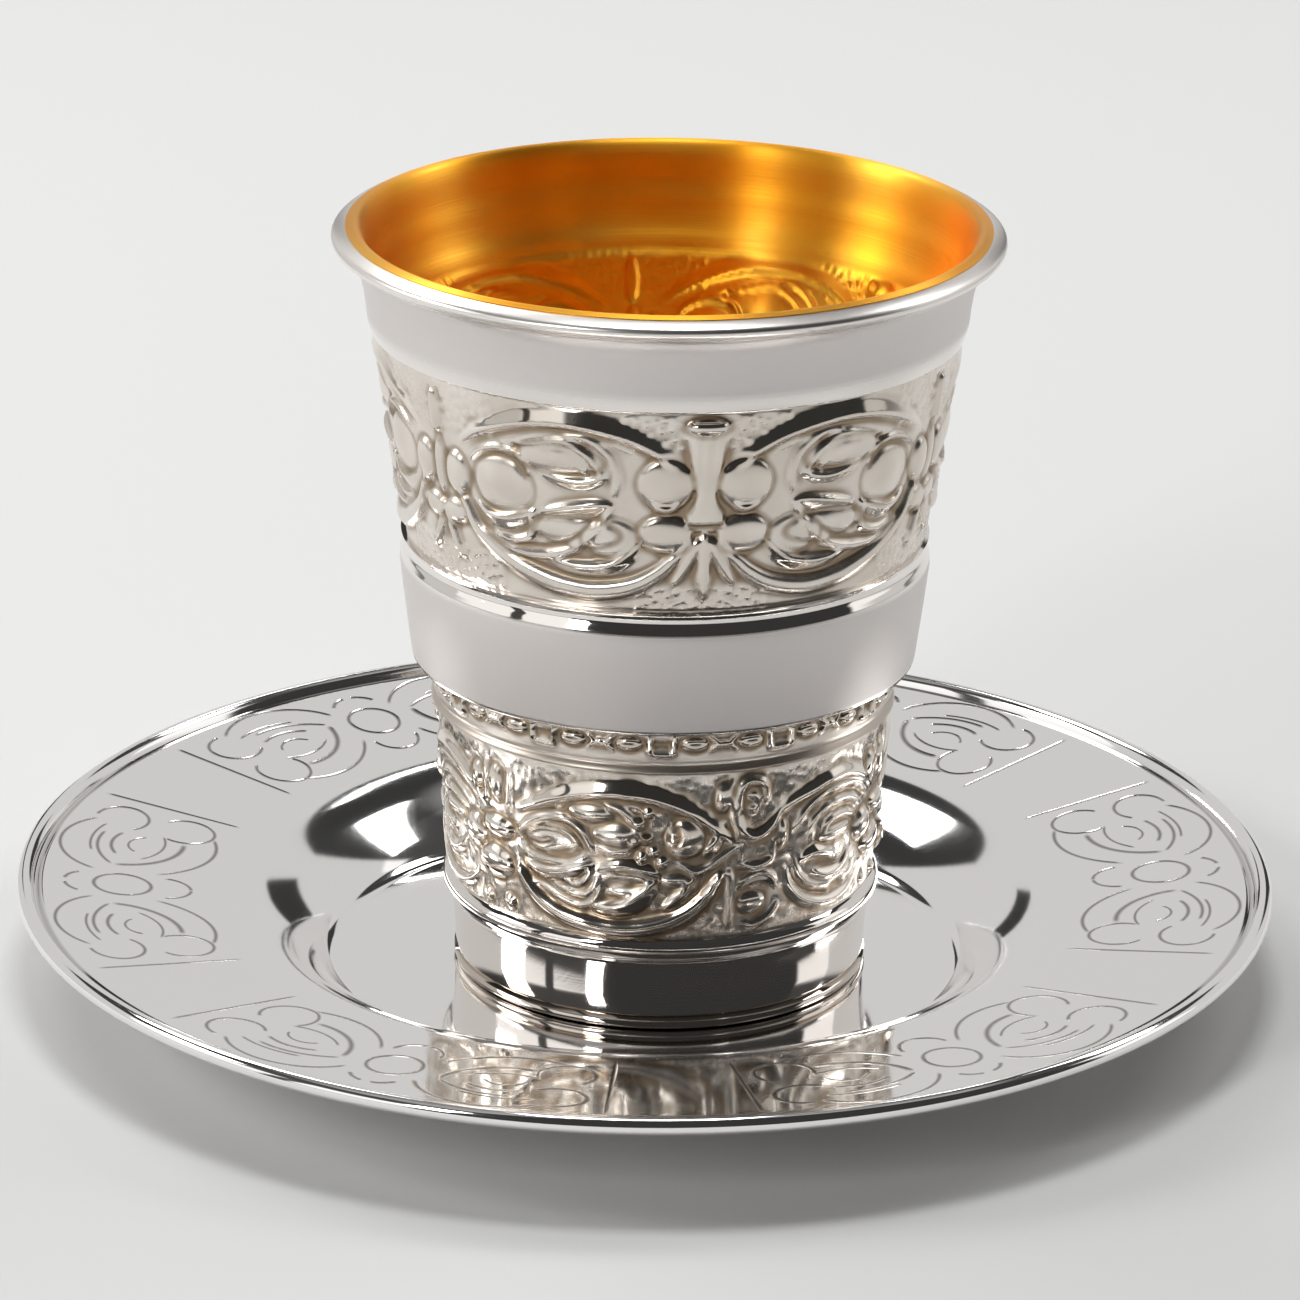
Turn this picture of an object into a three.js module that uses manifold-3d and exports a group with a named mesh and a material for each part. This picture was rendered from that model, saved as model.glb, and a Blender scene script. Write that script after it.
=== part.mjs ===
// Kiddush cup on its saucer: a flared silver beaker with two bands of chased scrolls,
// standing in the well of a shallow saucer. Millimetres, +Z up, front towards -Y.
// The origin is on the surface that the saucer stands on, under the saucer's centre.
import * as THREE from "three";
import { mergeVertices } from "three/addons/utils/BufferGeometryUtils.js";
import Module from "manifold-3d";

const wasm = await Module();
wasm.setup();

// ---- driving dimensions ----------------------------------------------------
const SHEET = 0.8; // silver sheet of both pieces
const REST_GAP = 0.1; // between the cup's foot and the well's floor
const CUP_SHIFT = 1.7; // the cup stands this far right of the saucer's centre

// saucer: heights from the surface that it stands on
const SAUCER_R = 67.1;
const SAUCER_EDGE_H = 11; // top of the rolled edge
const EDGE_WIRE_R = 0.95; // radius of the rolled edge
const WELL_FLOOR_R = 32.8;
const WELL_FILLET = 2; // between the well's floor and its wall
const WALL_SLOPE = 52; // degrees, where the well's wall is steepest
const SHOULDER_R = 45.2; // where the well's wall meets the rim
const SHOULDER_H = 7.82;
const SHOULDER_FILLET = 16; // between the well's wall and the rim
const RIM_SLOPE = 7; // degrees

// cup: heights from a level line 1.4 under its foot, so that the cup is 81.2 tall
const FOOT_H = 1.4;
const LIP_H = 82.6;
const RIM_R = 35;
const RIM_DROP = 0.7; // the lip's outer edge lies this far below its top
const RIM_EDGE_T = 1.1; // height of the lip's outer edge
const NECK_R = 32.3; // under the lip
const FOOT_R = 22;
const FOOT_RING_H = FOOT_H + 1.3; // top of the foot's ring
const FOOT_RING_T = 1.4;
const CUP_FLOOR_H = 4.4; // inside floor
const STEP_H = 36; // ledge between the belly and the stem
const STEP_R = 26.6; // outside the ledge
const STEM_R = 24.5; // under the ledge

// chased bands: [bottom height, bottom radius, top height, top radius] of their ground
const UPPER = { z0: 50, r0: 27.3, z1: 71.6, r1: 30.3 };
const LOWER = { z0: 12, r0: 22.6, z1: 30.8, r1: 23.9 };
const REPEATS = 6; // oval frames round each band
const PITCH = 360 / REPEATS;
const RELIEF = 0.75; // how far the frames stand out from the ground
const BURY = 0.35; // how far each raised form reaches into the sheet

const RADIAL_STEPS_CUP = 36;
const RADIAL_STEPS_SAUCER = 48;
const BOSS_SIDES = 6;
const FRAME_STEPS = 7;
const LEAF_STEPS = 4;
const PETAL_STEPS = 2;

// ---- helpers ---------------------------------------------------------------
const rad = THREE.MathUtils.degToRad;

/** Points of a circular arc in the profile plane, ends included. */
function arc(centreR, centreZ, radius, fromDeg, toDeg, steps) {
  const points = [];
  for (let i = 0; i <= steps; i++) {
    const a = rad(fromDeg + ((toDeg - fromDeg) * i) / steps);
    points.push([centreR + radius * Math.cos(a), centreZ + radius * Math.sin(a)]);
  }
  return points;
}

/** A closed three.js geometry turned into a manifold solid, with its faces turned outwards. */
function toSolid(geometry) {
  const bare = geometry.clone();
  bare.deleteAttribute("normal");
  bare.deleteAttribute("uv");
  const merged = mergeVertices(bare, 1e-4);
  const index = merged.index.array;
  const triangles = [];
  for (let i = 0; i < index.length; i += 3) {
    const [a, b, c] = [index[i], index[i + 1], index[i + 2]];
    if (a !== b && b !== c && c !== a) triangles.push(a, b, c);
  }
  const vertProperties = new Float32Array(merged.attributes.position.array);
  const solidOf = (triVerts) =>
    new wasm.Manifold(new wasm.Mesh({ numProp: 3, vertProperties, triVerts }));
  const solid = solidOf(new Uint32Array(triangles));
  return solid.volume() > 0 ? solid : solidOf(new Uint32Array(triangles).reverse());
}

/** A manifold solid turned back into a three.js geometry. */
function toGeometry(solid) {
  const mesh = solid.getMesh();
  const geometry = new THREE.BufferGeometry();
  geometry.setAttribute("position", new THREE.BufferAttribute(new Float32Array(mesh.vertProperties), 3));
  geometry.setIndex(Array.from(mesh.triVerts));
  geometry.computeVertexNormals();
  return geometry;
}

/** A profile of [radius, height] pairs, from the axis round to the axis, turned about Z. */
function turned(profile, steps) {
  const points = profile.map(([r, z]) => new THREE.Vector2(r, z));
  return new THREE.LatheGeometry(points, steps).rotateX(Math.PI / 2);
}

/** A closed solid from rings of points, each ring with as many corners as the next. */
function loft(rings) {
  const corners = rings[0].length;
  const positions = rings.flat().flatMap((p) => [p.x, p.y, p.z]);
  const index = [];
  for (let i = 0; i + 1 < rings.length; i++) {
    for (let k = 0; k < corners; k++) {
      const a = i * corners + k;
      const b = i * corners + ((k + 1) % corners);
      index.push(a, b, b + corners, a, b + corners, a + corners);
    }
  }
  const last = (rings.length - 1) * corners;
  for (let k = 1; k + 1 < corners; k++) {
    index.push(0, k + 1, k, last, last + k, last + k + 1);
  }
  const geometry = new THREE.BufferGeometry();
  geometry.setAttribute("position", new THREE.Float32BufferAttribute(positions, 3));
  geometry.setIndex(index);
  return geometry;
}

// ---- raised forms on a band ------------------------------------------------
/** A point over a band's ground: degrees round from the front, height, distance out. */
function over(band, deg, z, out) {
  const r = THREE.MathUtils.mapLinear(z, band.z0, band.z1, band.r0, band.r1) + out;
  return new THREE.Vector3(r * Math.sin(rad(deg)), -r * Math.cos(rad(deg)), z);
}

/** Millimetres round the band turned into degrees. */
function degrees(band, mm) {
  return THREE.MathUtils.radToDeg((2 * mm) / (band.r0 + band.r1));
}

/** A domed boss, round or oval, with its half width and half height in millimetres. */
function boss(band, deg, z, halfWidth, halfHeight, out = RELIEF) {
  const rings = [
    { grow: 1, lift: -BURY },
    { grow: 0.62, lift: out },
  ].map(({ grow, lift }) => {
    const ring = [];
    for (let k = 0; k < BOSS_SIDES; k++) {
      const a = (2 * Math.PI * (k + 0.5)) / BOSS_SIDES;
      const across = degrees(band, halfWidth * grow * Math.cos(a));
      ring.push(over(band, deg + across, z + halfHeight * grow * Math.sin(a), lift));
    }
    return ring;
  });
  return toSolid(loft(rings));
}

/** A crescent: a ridge along a path of [degrees, height], widest in its middle. */
function crescent(band, path, halfWidth, steps, out = RELIEF, endShare = 0.25) {
  const rings = [];
  for (let i = 0; i <= steps; i++) {
    const t = i / steps;
    const [deg, z] = path(t);
    const [degA, zA] = path(t - 0.01);
    const [degB, zB] = path(t + 0.01);
    const along = new THREE.Vector2((degB - degA) / degrees(band, 1), zB - zA).normalize();
    const share = endShare + (1 - endShare) * Math.sin(Math.PI * t);
    const w = halfWidth * share;
    const at = (side, lift) =>
      over(band, deg - degrees(band, along.y * side), z + along.x * side, lift);
    rings.push([at(-w, -BURY), at(0, out * share), at(w, -BURY)]);
  }
  return toSolid(loft(rings));
}

/** A path round an oval, with its centre in degrees and height, from one angle to another. */
function ovalPath(deg, z, halfWidthDeg, halfHeight, from, to) {
  return (t) => {
    const a = rad(from + (to - from) * t);
    return [deg + halfWidthDeg * Math.cos(a), z + halfHeight * Math.sin(a)];
  };
}

/** A petal: a tapering leaf from its root to its tip, both in degrees and height. */
function petal(band, root, tip, halfWidth) {
  const path = (t) => [root[0] + (tip[0] - root[0]) * t, root[1] + (tip[1] - root[1]) * t];
  return crescent(band, path, halfWidth, PETAL_STEPS);
}

// ---- the two bands ---------------------------------------------------------
const UPPER_OVAL = { first: -22, z: 60.8, halfWidthDeg: 26, up: 9.9, down: 8.6 };
const LOWER_OVAL = { first: -11, z: 20.9, halfWidthDeg: 25.5, up: 8.4, down: 7.4 };

/** The thick crescents that frame an oval above and below. */
function frames(band, oval, centre, halfWidth) {
  const { z, halfWidthDeg, up, down } = oval;
  return [
    crescent(band, ovalPath(centre, z, halfWidthDeg, up, 168, 12), halfWidth, FRAME_STEPS),
    crescent(band, ovalPath(centre, z, halfWidthDeg, down, -162, -18), halfWidth * 0.8, FRAME_STEPS),
  ];
}

/** One oval of the upper band with a disc and a curling leaf; every other one is mirrored. */
function upperOval(index) {
  const centre = UPPER_OVAL.first + PITCH * index;
  const side = index % 2 === 0 ? 1 : -1;
  return [
    ...frames(UPPER, UPPER_OVAL, centre, 1),
    boss(UPPER, centre - 14 * side, 61.6, 3.9, 3.4),
    crescent(UPPER, ovalPath(centre + side, 61.6, 13 * side, 5.4, -110, 75), 1.3, LEAF_STEPS),
  ];
}

/** The knot between two upper ovals: four bosses, a stem above them and a petal below. */
function upperKnot(index) {
  const centre = UPPER_OVAL.first + PITCH * (index + 0.5);
  const parts = [
    petal(UPPER, [centre, 60.5], [centre, 71], 1.7),
    petal(UPPER, [centre, 58], [centre, 51], 1.7),
  ];
  for (const side of [-1, 1]) {
    parts.push(boss(UPPER, centre + 8 * side, 63.9, 2.8, 2.7));
    parts.push(boss(UPPER, centre + 8 * side, 58.4, 2.5, 2.3));
  }
  return parts;
}

/** One oval of the lower band, with a boss and a leaf; every other one is mirrored. */
function lowerOval(index) {
  const centre = LOWER_OVAL.first + PITCH * index;
  const side = index % 2 === 0 ? 1 : -1;
  return [
    ...frames(LOWER, LOWER_OVAL, centre, 0.85),
    boss(LOWER, centre + 16 * side, 23, 2.3, 2.2),
    crescent(LOWER, ovalPath(centre - 6 * side, 20.6, 13 * side, 3.6, 170, -10), 1.1, LEAF_STEPS),
  ];
}

/** The knot between two lower ovals: a petal over two bosses, or a heart, by turns. */
function lowerKnot(index) {
  const isFlower = index % 2 === 1;
  const centre = LOWER_OVAL.first + PITCH * (index + 0.5) + (isFlower ? -3 : 3);
  const lead = petal(LOWER, [centre, 24], [centre, 30], 1.3);
  if (isFlower) {
    return [lead, boss(LOWER, centre, 21.7, 2.7, 1.5), boss(LOWER, centre, 17.8, 3, 1.9)];
  }
  const heart = crescent(LOWER, ovalPath(centre, 25.4, 6, 2.4, -170, -10), 0.8, LEAF_STEPS);
  return [lead, heart, boss(LOWER, centre, 20.2, 2, 1.6)];
}

// ---- the cup ---------------------------------------------------------------
/** The cup's wall from the middle of its floor, under the foot, up the outside and down inside. */
function cupProfile() {
  const floorUnder = CUP_FLOOR_H - SHEET;
  const lipEdge = LIP_H - RIM_DROP;
  const ringInside = FOOT_R - FOOT_RING_T;
  const outside = [
    [0, floorUnder],
    [ringInside - 0.6, floorUnder],
    [ringInside, FOOT_H + 0.3],
    [ringInside + 0.3, FOOT_H],
    [FOOT_R - 0.3, FOOT_H],
    [FOOT_R + 0.1, FOOT_H + 0.5],
    [FOOT_R - 0.05, FOOT_RING_H],
    [FOOT_R - 0.35, FOOT_RING_H + 0.2],
    [FOOT_R - 0.15, FOOT_RING_H + 0.6],
    [FOOT_R + 0.05, 5.6],
    [FOOT_R + 0.3, 8.6],
    [FOOT_R + 0.8, 9.7],
    ...arc(FOOT_R + 0.4, 10.7, 0.95, -45, 60, 3),
    [LOWER.r0, LOWER.z0],
    [LOWER.r1, LOWER.z1],
    [STEM_R + 0.1, 31.1],
    [STEM_R - 0.4, 31.7],
    [STEM_R - 0.1, 32.6],
    [STEM_R, STEP_H - 0.4],
    [STEP_R - 0.3, STEP_H],
    [STEP_R, STEP_H + 0.3],
    [27.7, 43],
    [27.85, 47.2],
    [27.4, 48.5],
    [27.7, 49.7],
    [UPPER.r0, UPPER.z0],
    [UPPER.r1, UPPER.z1],
    [31.0, 71.9],
    [31.3, 73.2],
    [31.55, 75.8],
    [NECK_R, 78.6],
    [NECK_R + 0.9, 80.3],
    [RIM_R - 0.4, lipEdge - RIM_EDGE_T],
    [RIM_R, lipEdge - RIM_EDGE_T * 0.5],
    [RIM_R - 0.3, lipEdge],
  ];
  const inside = [
    [NECK_R + 0.2, LIP_H],
    [NECK_R - 0.6, LIP_H - 0.5],
    [NECK_R - 0.9, 78.4],
    [31.55 - SHEET, 75.4],
    [UPPER.r1 - SHEET, UPPER.z1],
    [UPPER.r0 - SHEET, UPPER.z0],
    [27.7 - SHEET, 43],
    [STEP_R - SHEET, STEP_H + 1.4],
    [STEM_R - SHEET, STEP_H + 0.5],
    [LOWER.r1 - SHEET, LOWER.z1],
    [FOOT_R - SHEET, CUP_FLOOR_H + 3],
    [FOOT_R - SHEET - 2, CUP_FLOOR_H],
    [0, CUP_FLOOR_H],
  ];
  return [...outside, ...inside];
}

/** The cup's wall with every raised form joined on. */
function cupGeometry() {
  let solid = toSolid(turned(cupProfile(), RADIAL_STEPS_CUP));
  const raised = [];
  for (let i = 0; i < REPEATS; i++) {
    raised.push(...upperOval(i), ...upperKnot(i), ...lowerOval(i), ...lowerKnot(i));
  }
  for (const form of raised) solid = solid.add(form);
  return toGeometry(solid);
}

// ---- the saucer ------------------------------------------------------------
/** The upper side of the saucer from the middle out: floor, wall of the well, shoulder and sloping rim. */
function saucerTop() {
  const shoulderCentreR = SHOULDER_R + SHOULDER_FILLET * Math.sin(rad(RIM_SLOPE));
  const shoulderCentreH = SHOULDER_H - SHOULDER_FILLET * Math.cos(rad(RIM_SLOPE));
  return [
    [0, SHEET],
    ...arc(WELL_FLOOR_R, SHEET + WELL_FILLET, WELL_FILLET, -90, WALL_SLOPE - 90, 2),
    ...arc(shoulderCentreR, shoulderCentreH, SHOULDER_FILLET, 90 + WALL_SLOPE, 90 + RIM_SLOPE, 3),
    [SAUCER_R - 3.4, SAUCER_EDGE_H - 0.95],
    [SAUCER_R - 2.2 * EDGE_WIRE_R, SAUCER_EDGE_H - 1.05],
  ];
}

/** The whole section of the saucer: upper side, rolled edge, and the underside back in. */
function saucerProfile() {
  const top = saucerTop();
  const wire = arc(SAUCER_R - EDGE_WIRE_R, SAUCER_EDGE_H - EDGE_WIRE_R, EDGE_WIRE_R, 150, -150, 6);
  const under = top
    .slice(2, -1)
    .reverse()
    .map(([r, z]) => {
      const onWall = r > WELL_FLOOR_R && r < SHOULDER_R - SHEET;
      return [r + (onWall ? SHEET * 0.75 : SHEET * 0.1), z - SHEET * (onWall ? 0.66 : 1)];
    });
  return [...top, ...wire, ...under, [WELL_FLOOR_R + 0.6, 0], [0, 0]].reverse();
}

// ---- materials and assembly ------------------------------------------------
const silver = new THREE.MeshStandardMaterial({ color: 0xc9c6c2, roughness: 0.25, metalness: 1 });
const saucerSilver = new THREE.MeshStandardMaterial({ color: 0xd6d5d4, roughness: 0.2, metalness: 1 });

const saucer = new THREE.Mesh(turned(saucerProfile(), RADIAL_STEPS_SAUCER), saucerSilver);
saucer.name = "saucer";

const cup = new THREE.Mesh(cupGeometry(), silver);
cup.name = "kiddush_cup";
cup.position.set(CUP_SHIFT, 0, SHEET + REST_GAP - FOOT_H);

const kiddushCupSet = new THREE.Group();
kiddushCupSet.add(saucer, cup);
export default kiddushCupSet;
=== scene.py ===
# %% [markdown]
# # A kiddush cup and its saucer, from a fixed frame
# The real set is stamped from thin sterling sheet: a flared beaker with two bands of raised
# scrollwork, gilt inside, standing in the well of an engraved saucer.
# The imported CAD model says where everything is, so this lesson starts by loading it as a frame,
# and keeps the box it fills, because no piece made here may grow out of it.

# %% The frame and its box
from math import cos, pi, radians, sin, tau

import bmesh
import bpy
import numpy as np
from mathutils import Euler, Matrix, Quaternion, Vector


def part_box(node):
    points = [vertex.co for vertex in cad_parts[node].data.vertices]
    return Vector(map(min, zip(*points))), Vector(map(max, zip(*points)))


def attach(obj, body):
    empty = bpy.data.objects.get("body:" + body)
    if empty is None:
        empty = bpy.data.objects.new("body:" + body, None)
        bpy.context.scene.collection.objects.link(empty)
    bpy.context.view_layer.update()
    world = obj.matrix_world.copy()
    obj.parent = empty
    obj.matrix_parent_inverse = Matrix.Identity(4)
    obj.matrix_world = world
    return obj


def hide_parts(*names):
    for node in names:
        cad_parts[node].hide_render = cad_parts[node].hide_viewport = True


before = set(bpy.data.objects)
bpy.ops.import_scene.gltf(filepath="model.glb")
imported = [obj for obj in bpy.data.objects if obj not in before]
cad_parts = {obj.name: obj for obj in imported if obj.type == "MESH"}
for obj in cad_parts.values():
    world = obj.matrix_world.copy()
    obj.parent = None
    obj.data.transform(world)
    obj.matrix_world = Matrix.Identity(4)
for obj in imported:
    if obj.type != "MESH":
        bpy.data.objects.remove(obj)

bpy.context.view_layer.update()
cup_low, cup_high = (Vector(corner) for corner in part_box("kiddush_cup"))
MM = 0.001
cup_x = (cup_low.x + cup_high.x) / 2
FOOT_UP = 1.4  # mm: heights on the cup count from a level line this far under its foot
cup_z = cup_low.z - FOOT_UP * MM
print("cup axis at x =", round(cup_x / MM, 2), "mm, heights on it from z =", round(cup_z / MM, 2), "mm")

# %% [markdown]
# ## The camera
# A long lens a little way off keeps a small object's ellipses calm. The camera looks down at the
# cup by 20 degrees. Its place is given in the frame's metres, and its turn as a pitch, a small
# yaw and a very small roll, as a tripod head would be set.

# %% The camera on its tripod
camera_pitch = 0.35151
camera_yaw = 0.00227
camera_roll = 0.013425

camera_data = bpy.data.cameras.new("studio_camera")
camera_data.lens = 173.9
camera_data.sensor_width = 36
camera = bpy.data.objects.new("studio_camera", camera_data)
bpy.context.scene.collection.objects.link(camera)
camera.matrix_world = (
    Matrix.Translation((0.0017, -0.62404, 0.2640))
    @ Euler((pi / 2 - camera_pitch, 0, camera_yaw)).to_matrix().to_4x4()
    @ Matrix.Rotation(camera_roll, 4, "Z")
)
bpy.context.scene.camera = camera
print("lens", camera_data.lens, "mm at", [round(v, 3) for v in camera.matrix_world.translation])

# %% [markdown]
# ## Working by hand, in code
# Every piece below starts as a primitive and is shaped in edit mode, as it would be with a mouse.
# An operator acts on whatever is selected, so each step first clears the selection. These helpers
# start a piece, enter and leave edit mode, and pick vertices by their place.

# %% Helpers for starting a piece
def clear_selection():
    if bpy.context.object and bpy.context.object.mode != "OBJECT":
        bpy.ops.object.mode_set(mode="OBJECT")
    bpy.ops.object.select_all(action="DESELECT")


def named(name):
    piece = bpy.context.object
    piece.name = name
    piece.data.name = name
    return piece


def settle(piece):
    """Puts the object at the origin, unturned and unscaled, with its place in its mesh."""
    clear_selection()
    piece.select_set(True)
    bpy.context.view_layer.objects.active = piece
    bpy.ops.object.transform_apply(location=True, rotation=True, scale=True)


def mend(piece):
    """Merges vertices within a thousandth of a mm, then turns every face outwards."""
    clear_selection()
    piece.select_set(True)
    bpy.context.view_layer.objects.active = piece
    bpy.ops.object.mode_set(mode="EDIT")
    bpy.ops.mesh.select_all(action="SELECT")
    bpy.ops.mesh.remove_doubles(threshold=1e-6)
    bpy.ops.mesh.delete_loose(use_verts=True, use_edges=True)
    bpy.ops.mesh.normals_make_consistent(inside=False)
    bpy.ops.object.mode_set(mode="OBJECT")


def places(piece):
    """The piece's vertices as an array of x, y, z in metres."""
    flat = np.empty(len(piece.data.vertices) * 3)
    piece.data.vertices.foreach_get("co", flat)
    return flat.reshape(-1, 3)


def move_to(piece, points):
    piece.data.vertices.foreach_set("co", np.ascontiguousarray(points).ravel())
    piece.data.update()


def report(piece):
    open_edges = check_closed(piece)
    faces = sum(len(face.vertices) - 2 for face in piece.data.polygons)
    size = [round(v / MM, 1) for v in piece.dimensions]
    print(piece.name, faces, "triangles,", open_edges, "open edges,", size)


def check_closed(piece):
    mesh = bmesh.new()
    mesh.from_mesh(piece.data)
    count = sum(1 for edge in mesh.edges if len(edge.link_faces) != 2)
    mesh.free()
    return count


# %% [markdown]
# ## The turned helper
# A beaker is raised on a lathe, so the natural way to model one is to draw half its outline and
# spin it. The outline is drawn as a person would: one vertex is extruded from point to point. A
# soft stretch of the outline is first smoothed into more points; a crease is left where two
# stretches meet.

# %% Draw an outline and spin it
def soften(points, steps):
    """A smooth curve through the points, as more points."""
    knots = [Vector(point) for point in points]
    knots = [2 * knots[0] - knots[1]] + knots + [2 * knots[-1] - knots[-2]]
    smooth = []
    for before, start, end, after in zip(knots, knots[1:], knots[2:], knots[3:]):
        for step in range(steps):
            t = step / steps
            smooth.append(
                0.5 * (2 * start + (end - before) * t
                       + (2 * before - 5 * start + 4 * end - after) * t * t
                       + (3 * start - before - 3 * end + after) * t * t * t)
            )
    smooth.append(knots[-2])
    return [tuple(point) for point in smooth]


def turned(name, outline, axis_x, base_z, columns):
    """Spins an outline of (radius, height) in mm about the upright line at axis_x."""
    clear_selection()
    bpy.ops.mesh.primitive_plane_add(size=MM, location=(0, 0, 0))
    piece = named(name)
    bpy.ops.object.mode_set(mode="EDIT")
    bpy.ops.mesh.select_all(action="SELECT")
    bpy.ops.mesh.merge(type="CENTER")
    points = [Vector((axis_x, -radius * MM, base_z + height * MM)) for radius, height in outline]
    bpy.ops.transform.translate(value=points[0])
    for last, point in zip(points, points[1:]):
        bpy.ops.mesh.extrude_region_move(TRANSFORM_OT_translate={"value": point - last})
    bpy.ops.mesh.select_all(action="SELECT")
    bpy.ops.mesh.spin(steps=columns, angle=tau, center=(axis_x, 0, 0), axis=(0, 0, 1))
    bpy.ops.object.mode_set(mode="OBJECT")
    settle(piece)
    mend(piece)
    bpy.ops.object.shade_smooth_by_angle(angle=radians(40))
    return piece


# %% [markdown]
# ## The plain body of the cup
# On the real cup the foot ring, the mirror-bright band above it, the belly, the neck and the
# out-turned lip are plain turned silver. They are made as one outline. Where a band of ornament
# goes, the outline steps back behind it, so that the band can be a piece of its own.

# %% The cup body's outline
foot = [(21.65, FOOT_UP), (21.95, 1.6), (22.08, 2.0), (22.02, 2.45), (21.8, 2.65), (21.66, 2.8)]
mirror_band = [(21.83, 2.95), (21.88, 3.1), (22.0, 4.9), (22.14, 6.8), (22.28, 8.5), (22.32, 8.8),
               (22.15, 9.05)]
bead = soften([(22.45, 9.15), (22.7, 9.5), (23.05, 9.9), (23.3, 10.6), (23.15, 11.4), (22.7, 11.9)], 4)
behind_lower = [(22.35, 12.05), (22.3, 12.4), (23.5, 30.6), (23.55, 30.85)]
stem_cove = soften([(24.3, 30.9), (24.58, 31.15), (24.4, 31.5), (24.15, 31.8), (24.15, 32.1)], 4)
behind_frieze = [(23.95, 32.2), (24.0, 35.75)]
ledge = [(25.0, 35.84), (26.2, 35.9), (26.46, 36.0), (26.58, 36.2), (26.62, 36.5), (26.95, 38.9),
         (27.3, 41.6), (27.62, 44.3), (27.85, 46.4)]
belly_cove = soften([(27.82, 47.3), (27.6, 47.9), (27.38, 48.5), (27.5, 49.15), (27.75, 49.65)], 5)
behind_upper = [(27.0, 49.9), (26.95, 50.2), (29.85, 71.5), (29.95, 71.8)]
neck = soften([(30.75, 71.75), (31.0, 72.0), (31.2, 72.7), (31.32, 73.5), (31.42, 74.6), (31.7, 76.4),
               (32.2, 78.4), (32.7, 79.5), (33.3, 80.2)], 5)
lip = soften([(33.3, 80.2), (34.1, 80.55), (34.65, 80.85), (34.95, 81.3), (34.8, 81.75), (34.2, 82.1),
              (33.3, 82.45), (32.6, 82.55), (32.15, 82.4), (31.9, 82.0)], 4)[1:]
inside_wall = [(31.55, 78.4), (30.95, 75.4), (29.98, 72.2), (29.72, 71.3), (26.8, 50.3), (27.08, 48.6),
               (27.25, 46.5), (27.15, 43), (26.75, 39.6), (26.3, 37.0), (25.2, 36.3), (23.75, 35.4),
               (23.3, 30.8), (21.6, 6.6), (21.0, 5.0), (19.6, 4.2), (0, 4.15)]
underside = [(0, 3.4), (19.6, 3.4), (20.5, 2.6), (20.6, FOOT_UP)]
cup_outline = (foot + mirror_band + bead + behind_lower + stem_cove + behind_frieze + ledge + belly_cove
               + behind_upper + neck + lip + inside_wall + underside + [foot[0]])
print("the cup's outline has", len(cup_outline), "points")

# %% The cup body
CUP_COLUMNS = 320
cup_body = turned("cup_body", cup_outline, cup_x, cup_z, CUP_COLUMNS)
report(cup_body)

# %% [markdown]
# ## A strip of silver to chase
# The ornament of such a cup is pressed or chased into a flat strip, which is then rolled up. A
# height map is the natural form for it, so a fine flat grid is raised by small sums, one for each
# blow of the tool: a boss is a dome, a roll follows a path, a facet is a roll with one steep side,
# and a groove cuts in. A person could sculpt this, but sums are exact and repeat round the cup.

# %% The chasing tools
def pointed(down, taper):
    """1 halfway down a path, narrowing towards both of its ends."""
    return np.clip(4 * down * (1 - down), 0.02, 1) ** taper


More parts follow.
